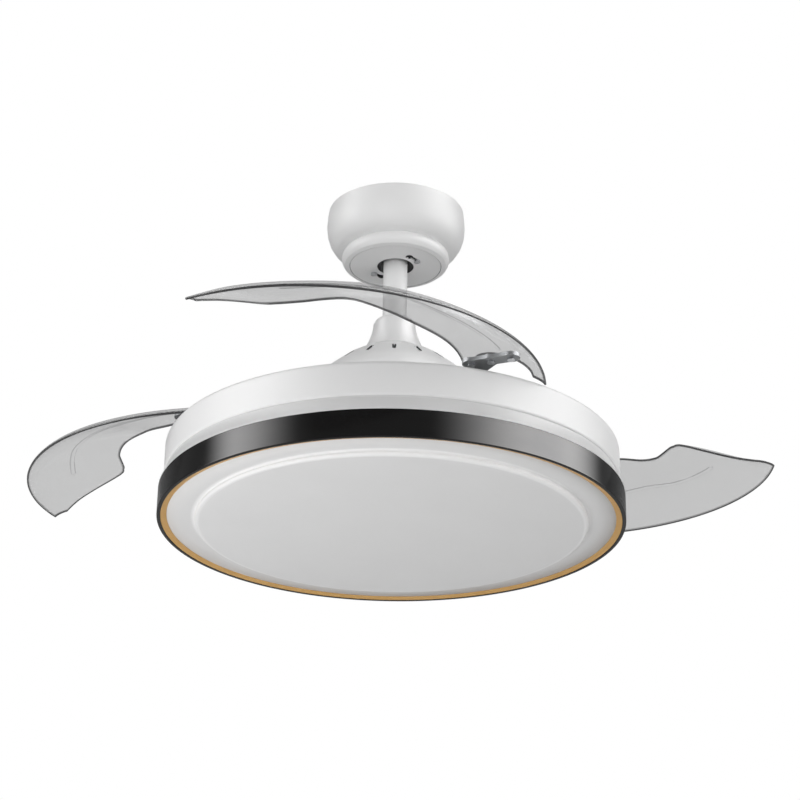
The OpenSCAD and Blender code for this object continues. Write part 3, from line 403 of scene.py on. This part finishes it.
def smooth_copy(node, painted_shade=None):
    """A merged copy of a node's mesh, shaded smooth across edges that turn by less than SHARP degrees.
    The function given last, called with the centres and normals of the faces, tells which faces get the near-black
    painted shade."""
    mesh = frame["nodes"][node].data.copy()
    give_finishes(mesh, node, ["bare_inside"] if painted_shade else [])
    shape = bmesh.new()
    shape.from_mesh(mesh)
    bmesh.ops.remove_doubles(shape, verts=shape.verts, dist=CAD_MERGE)
    shape.to_mesh(mesh)
    shape.free()
    if "custom_normal" in mesh.attributes:
        mesh.attributes.remove(mesh.attributes["custom_normal"])
    count = len(mesh.polygons)
    mesh.polygons.foreach_set("use_smooth", np.ones(count, bool))
    mesh.set_sharp_from_angle(angle=np.radians(SHARP))
    if painted_shade:
        centre, normal = np.zeros(3 * count), np.zeros(3 * count)
        mesh.polygons.foreach_get("center", centre)
        mesh.polygons.foreach_get("normal", normal)
        finish = painted_shade(centre.reshape(-1, 3), normal.reshape(-1, 3))
        mesh.polygons.foreach_set("material_index", finish.astype(np.int32))
    stand_in(f"{node}_skin", mesh, node)


def hollow(centre, normal, inside_r):
    """Faces inside a cover: those whose normal points at the axis (outward part under -0.5) or across it (over
    0.4), and those that look up (over 0.5) within a radius."""
    r = np.linalg.norm(centre[:, :2], axis=1)
    out = (centre[:, :2] * normal[:, :2]).sum(1) / r
    across = np.abs(centre[:, 0] * normal[:, 1] - centre[:, 1] * normal[:, 0]) / r
    return (out < -0.5) | (across > 0.4) | ((normal[:, 2] > 0.5) & (r < inside_r))


def quads(rows, columns, round_rows=False, round_columns=False):
    """Faces of a grid of points, row after row; a round side joins its end to its start."""
    i = np.arange(rows if round_rows else rows - 1)[:, None]
    j = np.arange(columns if round_columns else columns - 1)[None, :]
    i1, j1 = (i + 1) % rows, (j + 1) % columns
    return np.stack([i * columns + j, i1 * columns + j, i1 * columns + j1, i * columns + j1], -1).reshape(-1, 4)


def revolve(section, turns=384):
    """A closed section [radius, height] carried round the axis: (r cos a, r sin a, z)."""
    a = np.linspace(0, 2 * np.pi, turns, endpoint=False)[:, None]
    r, z = section[None, :, 0], section[None, :, 1]
    points = np.stack([r * np.cos(a), r * np.sin(a), z + 0 * a], -1).reshape(-1, 3)
    return points, quads(turns, len(section), True, True)


def offset(path, distance):
    """A path set off to its right: p + m 2d / |m|^2, where m is the sum of the normals before and after p."""
    step = np.diff(path, axis=0)
    normal = np.stack([step[:, 1], -step[:, 0]], 1) / np.linalg.norm(step, axis=1)[:, None]
    m = np.concatenate([normal[:1], normal]) + np.concatenate([normal, normal[-1:]])
    return path + m * (2 * distance / (m * m).sum(1))[:, None]


def shell(path, wall):
    """Section of a wall: a path, and back along the path set off to its right by the wall."""
    inner = offset(path, wall)
    inner[:, 0] = np.maximum(inner[:, 0], 0)
    return np.concatenate([path, inner[::-1]])


def soften(section, radius, steps):
    """Corners of a closed section become arcs: (1-u)^2 a + 2u(1-u) p + u^2 b between points a and b that lie
    `radius` from the corner p, or less on a short side, with one more point past each so that flats stay flat."""
    radius = np.broadcast_to(radius, len(section))[:, None]
    back, ahead = np.roll(section, 1, axis=0) - section, np.roll(section, -1, axis=0) - section
    back_l, ahead_l = np.linalg.norm(back, axis=1)[:, None], np.linalg.norm(ahead, axis=1)[:, None]
    reach = np.minimum(radius, 0.38 * np.minimum(back_l, ahead_l))
    past = 1.2
    a, b = section + back / back_l * reach, section + ahead / ahead_l * reach
    u = np.linspace(0, 1, steps)[None, :, None]
    curve = (1 - u) ** 2 * a[:, None] + 2 * u * (1 - u) * section[:, None] + u ** 2 * b[:, None]
    before, after = section + back / back_l * reach * past, section + ahead / ahead_l * reach * past
    return np.concatenate([before[:, None], curve, after[:, None]], 1).reshape(-1, 2)


def bow(r, z, wide, high, start, end, steps=12):
    """Points [r + wide cos a, z + high sin a] of an ellipse, with a between two angles in degrees."""
    a = np.radians(np.linspace(start, end, steps))
    return np.stack([r + wide * np.cos(a), z + high * np.sin(a)], 1)


def joined(*parts):
    """One path from several, without repeated points."""
    path = np.concatenate([np.atleast_2d(p) for p in parts])
    keep = np.r_[True, np.linalg.norm(np.diff(path, axis=0), axis=1) > 1e-6]
    return path[keep]


# ---------- coupling cover, drum, lamp ----------

def coupling_cover():
    """Bell: a round shoulder, then a wall that flares as the 1.7th power of the way down to an undercut foot."""
    wall, shoulder, foot, under_w = 1.6 * MM, 5 * MM, 0.8 * MM, 0.6 * MM
    top_r, hole_r = 22.5 * MM, ROD_R + 0.3 * MM
    neck_r, neck_z = top_r + 1 * MM, BELL_TOP - shoulder - 1 * MM
    t = np.linspace(0, 1, 40)
    flare = np.stack([neck_r + (BELL_FOOT_R - neck_r) * t ** 1.7, neck_z - (neck_z - BELL_FOOT - foot) * t], 1)
    under = [[BELL_FOOT_R - under_w, BELL_FOOT + foot - 0.1 * MM], [BELL_FOOT_R - under_w, BELL_FOOT]]
    path = joined([[hole_r, BELL_TOP]], bow(top_r - shoulder, BELL_TOP - shoulder, shoulder, shoulder, 88, 10),
                  flare, under)
    section = shell(path, wall)
    section[:, 1] = np.maximum(section[:, 1], BELL_FOOT)
    section[:, 0] = np.maximum(section[:, 0], hole_r)
    piece("coupling_cover_shell", *revolve(section, 256), "coupling_cover")


def lamp_drum():
    """Drum: a well for the blade carrier, a rounded top edge, a straight wall, a fold and a cove down to the band,
    whose radius grows by its width times t^1.3 while its height falls evenly with t."""
    wall, edge, shaft_r = 1.5 * MM, 5 * MM, 9 * MM
    drum_r, fold_z, fold_w, fold_h = 245 * MM, level(46 * MM), 2 * MM, 2.4 * MM
    well_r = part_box("carrier_plate")[1].x + 7 * MM
    well_z, sill = DRUM_TOP - 4.5 * MM, DRUM_TOP - 1 * MM
    cove_w, cove_bend = BODY_R - drum_r + fold_w + 0.2 * MM, 1.3
    foot, skirt = BAND_TOP + 0.3 * MM, 0.8 * MM
    t = np.linspace(0, 1, 15)
    cove = np.stack([BODY_R - cove_w * (1 - t ** cove_bend), fold_z - (fold_z - foot - skirt) * t], 1)
    path = joined([[shaft_r, well_z], [well_r - 6 * MM, well_z]],
                  bow(well_r - 3 * MM, well_z + 1.2 * MM, 1.5 * MM, 1.2 * MM, -90, -20, 5),
                  [[well_r + 0.2 * MM, sill]], bow(well_r + 2.2 * MM, sill, 1.4 * MM, 1 * MM, 150, 90, 5),
                  [[well_r + 6 * MM, DRUM_TOP], [drum_r - edge - 1 * MM, DRUM_TOP]],
                  bow(drum_r - edge, DRUM_TOP - edge, edge, edge, 90, 0),
                  [[drum_r, DRUM_TOP - edge - 1 * MM], [drum_r, fold_z + fold_h + 0.6 * MM]],
                  bow(drum_r - fold_w, fold_z + fold_h, fold_w, fold_h - 0.1 * MM, 0, -85, 7), cove,
                  [[BODY_R, foot + 0.6 * MM], [BODY_R, foot]])
    points, faces = revolve(shell(path, wall))
    # The cove under the fold gets the darker grey paint: painted shade
    cove_shade_faces = points[faces].mean(1)[:, 2] < fold_z + 0.2 * MM
    piece("lamp_drum_shell", points, faces, "lamp_drum", ["cove_paint"], cove_shade_faces)


def trim_band():
    """Dark mirror band: a wall with rounded edges and a narrow lip turned in at its foot, carried round the axis,
    with the lugs inside it."""
    wall, lip_w = 2 * MM, 4 * MM
    section = np.array([[BODY_R, LIP], [BODY_R, BAND_TOP], [BODY_R - wall, BAND_TOP], [BODY_R - wall, LIP + LIP_T],
                        [BODY_R - lip_w, LIP + LIP_T], [BODY_R - lip_w, LIP]])
    points, faces = revolve(soften(section, np.array([1.0, 0.5, 0.5, 0.3, 0.3, 0.5]) * MM, 7))
    lugs, blocks = lug_blocks(wall)
    piece("trim_band_ring", np.concatenate([points, lugs]), np.concatenate([faces, blocks + len(points)]),
          "trim_band")


def lug_blocks(wall):
    """Three blocks that reach from the band's wall over the clips, as in the node: [points, faces]."""
    reach, low, high, half = 10 * MM, level(20 * MM), level(22.5 * MM), 6 * MM
    inner, outer = BODY_R - wall - reach, BODY_R - wall * 0.7
    corner = np.array([[x, y, z] for x in (inner, outer) for y in (-half, half) for z in (low, high)])
    side = np.array([[0, 1, 3, 2], [4, 6, 7, 5], [0, 4, 5, 1], [2, 3, 7, 6], [0, 2, 6, 4], [1, 5, 7, 3]])
    return (np.concatenate([turned(corner, azimuth) for azimuth in (30, 150, 270)]),
            np.concatenate([side + 8 * i for i in range(3)]))


def gold_ring():
    """Gold ring: a bevel that rises from the lip to the diffuser, and a flange that lies on the lip."""
    low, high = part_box("gold_ring")
    edge, inner, rim = BODY_R - 4.2 * MM, BODY_R - 10.5 * MM, high.x
    lip, wall = LIP + LIP_T, 0.8 * MM
    section = np.array([[edge, low.z], [inner, high.z - 0.4 * MM], [inner, high.z], [inner + 2 * MM, high.z],
                        [edge - wall, lip + wall], [rim, lip + wall], [rim, lip], [edge, lip]])
    piece("gold_ring_bevel", *revolve(soften(section, 0.25 * MM, 4)), "gold_ring")


def diffuser():
    """Diffuser: a flat flange, a step of two arcs and a face that bows down by crown (1 - (r / crown_r)^2)."""
    face_r, roll, fillet, wall = DIFFUSER_R, 3.2 * MM, 2 * MM, 2 * MM
    low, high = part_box("diffuser")
    flange = level(2.8 * MM)
    face, crown = level(-2.9 * MM), 2.1 * MM
    crown_r = face_r - roll
    r = crown_r * np.linspace(1, 0, 40)[1:]
    bowl = np.stack([r, face - crown * (1 - (r / crown_r) ** 2)], 1)
    path = joined([[high.x, flange], [face_r + 6 * MM, flange]],
                  bow(face_r + fillet / 2, flange - fillet, fillet, fillet, 88, 178, 8),
                  bow(crown_r, face + roll, roll, roll, 0, -84, 14), bowl)
    piece("diffuser_sheet", *revolve(shell(path, wall)), "diffuser")


# ---------- blades ----------

BLADE_R, EDGE_FLARE, EDGE_CURL = 223 * MM, 24.6 * MM, 6.8 * MM       # outer edge
BLADE_SPAN, ROOT_LAG = 114.2, 38.9                                    # degrees, folded, behind the pivot
PIVOT_R, PIVOT_AZ = 108 * MM, -78
EDGE_Z, BLADE_T = level(84.8 * MM), 2.4 * MM
BLADE_PITCH, EDGE_ROLL = 19, 1.4
# Width of the blade and change of its pitch in degrees, from root to tip
CHORD_KNOTS = np.array([[0, 83], [0.2, 90], [0.4, 103.5], [0.55, 111], [0.66, 101], [0.74, 99.5], [0.8, 102],
                        [0.85, 103], [0.89, 101.5], [0.93, 92], [0.97, 41], [0.985, 27], [1, 15]], float) * [1, MM]
TWIST_KNOTS = np.array([[0, 0], [0.3, -0.7], [0.6, 2.9], [0.8, -0.4], [1, -0.3]], float)
NOTCH_S, NOTCH_FROM, NOTCH_TO = 0.085, 0.14, 0.86                     # arch at the root
BLADES = {"a": (0, 110), "b": (-120, 148.2), "c": (120, 110)}     # turn of the pivot, swing at rest


def knot_curve(k, s):
    """A cubic between each two knots a and b, at the share u of their distance w:
    a (1+2u)(1-u)^2 + b u^2 (3-2u) + w (slope_a u (1-u)^2 - slope_b u^2 (1-u)), where the slope at a knot is that of
    the line between its neighbours."""
    n = np.arange(len(k))
    before, after = np.maximum(n - 1, 0), np.minimum(n + 1, len(k) - 1)
    slope = (k[after, 1] - k[before, 1]) / (k[after, 0] - k[before, 0])
    i = np.clip(np.searchsorted(k[:, 0], s, side="right") - 1, 0, len(k) - 2)
    w = k[i + 1, 0] - k[i, 0]
    u = (s - k[i, 0]) / w
    return (k[i, 1] * (1 + 2 * u) * (1 - u) ** 2 + k[i + 1, 1] * u * u * (3 - 2 * u)
            + w * slope[i] * u * (1 - u) ** 2 - w * slope[i + 1] * u * u * (1 - u))


def blade_middle(s, t):
    """Middle surface of a folded blade whose pivot is on +X. s runs from root to tip, t from outer to inner edge:
    radius R + flare s (0.4 + 0.6 s) - curl s^7 - chord(s) t, angle -lag - span s, and height
    edge + chord(s) tan(pitch + twist(s)) rise(t), where rise = (1 - (1-t)^roll)^(1/roll) rolls the outer edge
    down."""
    chord = knot_curve(CHORD_KNOTS, s)
    slope = np.tan(np.radians(BLADE_PITCH + knot_curve(TWIST_KNOTS, s)))
    rise = np.maximum(0, 1 - (1 - t) ** EDGE_ROLL) ** (1 / EDGE_ROLL)
    r = BLADE_R + EDGE_FLARE * s * (0.4 + 0.6 * s) - EDGE_CURL * s ** 7 - chord * t
    a = np.radians(-ROOT_LAG - BLADE_SPAN * s)
    return np.stack([r * np.cos(a), r * np.sin(a), EDGE_Z + chord * slope * rise], -1)


def unit(v):
    """Vectors of length 1."""
    return v / np.linalg.norm(v, axis=-1, keepdims=True)


def blade_normal(s, t):
    """Upward normal of the middle surface: the cross product of small steps along t and s, taken a little inside
    the sheet's edges."""
    e, near_edge = 0.003, 0.012
    s, t = np.clip(s, e, 1 - e), np.clip(t, near_edge, 1 - e)
    return unit(np.cross(blade_middle(s, t + e) - blade_middle(s, t - e),
                         blade_middle(s + e, t) - blade_middle(s - e, t)))


def turned(points, degrees, centre=(0, 0)):
    """Points turned about an upright axis through centre."""
    a = np.radians(degrees)
    x, y = points[..., 0] - centre[0], points[..., 1] - centre[1]
    return np.stack([centre[0] + x * np.cos(a) - y * np.sin(a), centre[1] + x * np.sin(a) + y * np.cos(a),
                     points[..., 2]], -1)


def at_rest(points, blade):
    """From the folded place with the pivot on +X to the blade's place at rest."""
    turn, swing = BLADES[blade]
    return turned(turned(points, swing, (PIVOT_R, 0)), PIVOT_AZ + turn)


# s, t of the rib's middle line
RIB_KNOTS = np.array([[0.125, 0.44], [0.3, 0.465], [0.42, 0.485], [0.54, 0.455], [0.64, 0.452], [0.74, 0.475],
                      [0.84, 0.458]])
RIB_W, RIB_FLANK, RIB_H = 4.6 * MM, 0.9 * MM, 0.8 * MM
RIB_RUNOUT = 0.012                              # length in s over which the rib rises and ends
EDGE_LINE, DOT_R = 0.9 * MM, 1.2 * MM           # width of the border, radius of the dots at the rib's ends
COLUMNS, ROWS_OUTER, ROWS_RIB, ROWS_INNER = 270, 34, 17, 30
ROLL_CROWD, END_CROWD = 1.7, 0.05               # how much rows crowd at the rolled edge, and columns at the ends
RIM_LOOPS, RIM_BULGE = 5, 0.9                   # loops of points on the rim, bulge as a share of half the sheet


def blade_mesh(blade):
    """Closed sheet: the middle surface set off by half the thickness along its normal on both sides, joined by
    a half-round rim. Columns start at the arched root. Rows crowd at the rolled edge and follow the rib, which
    stands out of the underside. Also gives each face's finish: 0 sheet, 1 cut edge, 2 darker lines of painted shade
    on the border and the rib's flanks."""
    columns, rib_from, rib_to = COLUMNS, RIB_KNOTS[0, 0], RIB_KNOTS[-1, 0]
    u = np.linspace(0, 1, columns)[:, None]
    line = knot_curve(RIB_KNOTS, np.clip(u, rib_from, rib_to))
    reach = (RIB_W / 2 + 2 * RIB_FLANK) / knot_curve(CHORD_KNOTS, u)
    low, high = line - reach, line + reach
    outer = np.linspace(0, 1, ROWS_OUTER) ** ROLL_CROWD
    over, inner = np.linspace(0, 1, ROWS_RIB)[1:], np.linspace(0, 1, ROWS_INNER)[1:]
    t = np.clip(np.concatenate([low * outer, low + (high - low) * over, high + (1 - high) * inner], 1), 0, 1)
    rows = t.shape[1]
    middle, half = (NOTCH_FROM + NOTCH_TO) / 2, (NOTCH_TO - NOTCH_FROM) / 2
    arch = NOTCH_S * np.sqrt(np.maximum(0, 1 - ((t - middle) / half) ** 2))
    s = arch + (1 - arch) * (u - END_CROWD * np.sin(2 * np.pi * u))
    p, n = blade_middle(s, t), blade_normal(s, t)
    h = BLADE_T / 2
    # Rib on the underside, between two dots
    off = np.abs(t - knot_curve(RIB_KNOTS, np.clip(s, rib_from, rib_to))) * knot_curve(CHORD_KNOTS, s)
    along = np.clip((s - rib_from) / RIB_RUNOUT, 0, 1) * np.clip((rib_to - s) / RIB_RUNOUT, 0, 1)
    rib = RIB_H * along * np.clip((RIB_W / 2 + RIB_FLANK / 2 - off) / RIB_FLANK, 0, 1)
    top, bottom = p + n * h, p - n * (h + rib)[..., None]
    # The border of the grid, once round, and the rim that bulges past it
    ring = np.concatenate([np.arange(columns) * rows, (columns - 1) * rows + np.arange(1, rows),
                           np.arange(columns - 2, -1, -1) * rows + rows - 1, np.arange(rows - 2, 0, -1)])
    edge, edge_n = p.reshape(-1, 3)[ring], n.reshape(-1, 3)[ring]
    way = unit(np.roll(edge, -1, axis=0) - np.roll(edge, 1, axis=0))
    out = unit(np.cross(way, edge_n))
    out *= np.sign(((edge - p[columns // 2, rows // 2]) * out).sum(1).mean())
    phi = np.linspace(np.pi / 2, -np.pi / 2, RIM_LOOPS + 2)[1:-1][:, None, None]
    rim = edge + h * (np.sin(phi) * edge_n + RIM_BULGE * np.cos(phi) * out)
    count = columns * rows
    points = np.concatenate([top.reshape(-1, 3), bottom.reshape(-1, 3), rim.reshape(-1, 3)])
    grid = quads(columns, rows)
    loops = np.concatenate([ring[None], 2 * count + np.arange(RIM_LOOPS * len(ring)).reshape(RIM_LOOPS, -1),
                            count + ring[None]])
    after = np.roll(loops, -1, axis=1)
    wall = np.stack([loops[:-1], loops[1:], after[1:], after[:-1]], -1).reshape(-1, 4)
    faces = np.concatenate([grid, grid[:, ::-1] + count, wall])
    # Finishes: the rim is edge, and a strip beside it and the rib's flanks and end dots are darker lines of painted
    # shade
    dots = blade_middle(RIB_KNOTS[[0, -1], 0], RIB_KNOTS[[0, -1], 1])
    centre = p.reshape(-1, 3)[grid].mean(1)
    t, s, off, along = (v.ravel()[grid].mean(1) for v in (t, s, off, along))
    near = np.minimum(t, 1 - t) * knot_curve(CHORD_KNOTS, s) < EDGE_LINE
    near |= (np.arange(columns - 1)[:, None] % (columns - 2) == 0).repeat(rows - 1, 1).ravel()
    flank = (np.abs(off - RIB_W / 2) < 0.6 * RIB_FLANK) & (along > 0.5)
    dotted = (np.linalg.norm(centre[:, None] - dots[None], axis=2) < DOT_R).any(1)
    finish = np.concatenate([2 * near, 2 * (near | flank | dotted), np.ones(len(wall), int)])
    return at_rest(points, blade), faces, finish


def blades():
    """The three blades, all of one shape."""
    for blade in BLADES:
        points, faces, finish = blade_mesh(blade)
        piece(f"blade_{blade}_sheet", points, faces, f"blade_{blade}", ["smoke_edge", "smoke_line"], finish)


# ---------- nodes that keep their mesh ----------

CANOPY_INSIDE_R, COVER_INSIDE_R = 50 * MM, 1 * MM     # radii within which upward faces are inside
CRADLE_TOP = -6 * MM                                  # below the bracket's ceiling plate


def dress_nodes():
    """Gives each node of the frame the finish of its slot, and the ones in view a smooth copy. The insides of the
    canopy and the motor cover, and the bracket's cradle below its ceiling plate, get near-black painted shade, as
    dark as the cradle looks through the canopy's holes."""
    for name, made in frame["nodes"].items():
        made.data.materials.clear()
        made.data.materials.append(FINISHES[RECORD_SLOT[name]].block)
    # Near-black painted shade on the faces inside the canopy, the motor cover and the bracket's cradle
    smooth_copy("canopy", lambda centre, normal: hollow(centre, normal, CANOPY_INSIDE_R))
    smooth_copy("motor_cover", lambda centre, normal: hollow(centre, normal, COVER_INSIDE_R))
    smooth_copy("mounting_bracket", lambda centre, normal: centre[:, 2] < CRADLE_TOP)
    for name in ("hanger_ball", "downrod", "shaft_coupling", "arm_a", "arm_b", "arm_c"):
        smooth_copy(name)


# ---------- studio ----------

# Place, side and power of each lamp, and the point that they face
LAMPS = {"key": ((-1.6, -1.9, 0.4), 1.6, 21), "fill": ((2.2, -1.4, -0.4), 1.6, 25),
         "under": ((-0.75, -0.35, -1.15), 0.8, 5.5), "low front": ((-0.8, -2.3, -1.2), 1.4, 8)}
LAMP_TARGET = (0, 0, -0.3)


def put(made, right, up, back, place):
    """Links an object whose own axes point right, up and back."""
    matrix = np.eye(4)
    matrix[:3] = np.column_stack([right, up, back, place])
    made.matrix_world = Matrix(matrix.tolist())
    bpy.context.scene.collection.objects.link(made)


def camera():
    """Camera below the fan and in front of it, looking up. Its lens comes from a focal length in pixels."""
    place, focal_px, image_px, sensor = (0.0, -2.15641, -1.18187), 2149.92, 800, 36
    yaw, pitch, roll = 0.0034, 0.4159, 0.0145
    ahead = np.array([np.sin(yaw) * np.cos(pitch), np.cos(yaw) * np.cos(pitch), np.sin(pitch)])
    level_right = np.array([np.cos(yaw), -np.sin(yaw), 0])
    level_up = np.cross(level_right, ahead)
    data = bpy.data.cameras.new("camera")
    data.sensor_width = sensor
    data.lens = focal_px * sensor / image_px
    made = bpy.data.objects.new("camera", data)
    put(made, np.cos(roll) * level_right + np.sin(roll) * level_up,
        np.cos(roll) * level_up - np.sin(roll) * level_right, -ahead, place)
    bpy.context.scene.camera = made


def softbox(name, place, side, power):
    """A square lamp that faces the fan and isn't seen in reflections."""
    data = bpy.data.lights.new(name, "AREA")
    data.shape, data.size, data.energy = "SQUARE", side, power
    made = bpy.data.objects.new(name, data)
    made.visible_glossy = False
    back = unit(np.array(place, float) - np.array(LAMP_TARGET, float))
    across = unit(np.cross([0, 0, 1], back))
    put(made, across, np.cross(back, across), back, place)


def studio_world():
    """White room: plain white to the camera and through clear pieces, a soft grey for light, and for reflections
    a dark room with two broad soft windows."""
    world = bpy.data.worlds.new("studio")
    bpy.context.scene.world = world
    f = Finish(world)
    x, y, z = f.axes(f.node("ShaderNodeTexCoord", out="Generated"))
    ray = f.node("ShaderNodeLightPath")
    outputs = ray.socket.node.outputs
    *seen, glossy = [Value(f, outputs[n]) for n in ("Is Camera Ray", "Is Transmission Ray", "Is Glossy Ray")]
    azimuth = x.math("ARCTAN2", x, 0 - y)       # 0 in front, right is positive
    left = azimuth.smooth(-1.8, -1.4) * (1 - azimuth.smooth(-1.45, -0.75))
    right = azimuth.smooth(0.3, 1.25) * (1 - azimuth.smooth(1.6, 2.15))
    plain, dark, left_window, right_window = 0.32, 0.25, 6.5, 8.0
    room = dark + left_window * left + right_window * right
    strength = plain + (room - plain) * glossy
    shown = glossy.math("MAXIMUM", *seen)
    strength = strength + (1.0 - strength) * shown
    back = f.node("ShaderNodeBackground", {"Color": (1, 1, 1), "Strength": strength})
    f.node("ShaderNodeOutputWorld", {"Surface": back})


def floor():
    """Plain pale floor far below the fan."""
    z, half, pale, paler = -2.4, 9.0, (0.80, 0.80, 0.80), (0.83, 0.83, 0.83)
    mesh = bpy.data.meshes.new("floor")
    mesh.from_pydata([(-half, -half, z), (half, -half, z), (half, half, z), (-half, half, z)], [], [(0, 1, 2, 3)])
    made = bpy.data.objects.new("floor", mesh)
    bpy.context.scene.collection.objects.link(made)
    f = material("floor_paint")
    f.surface(Base_Color=f.mix(f.noise(0.6, 2), pale, paler), Roughness=0.7)
    mesh.materials.append(f.block)


def studio():
    """Lamps, world and floor."""
    for name, (place, side, power) in LAMPS.items():
        softbox(name, place, side, power)
    studio_world()
    floor()


camera()
dress_nodes()
coupling_cover()
lamp_drum()
trim_band()
gold_ring()
diffuser()
blades()
studio()

bpy.context.scene.view_settings.view_transform = "Standard"
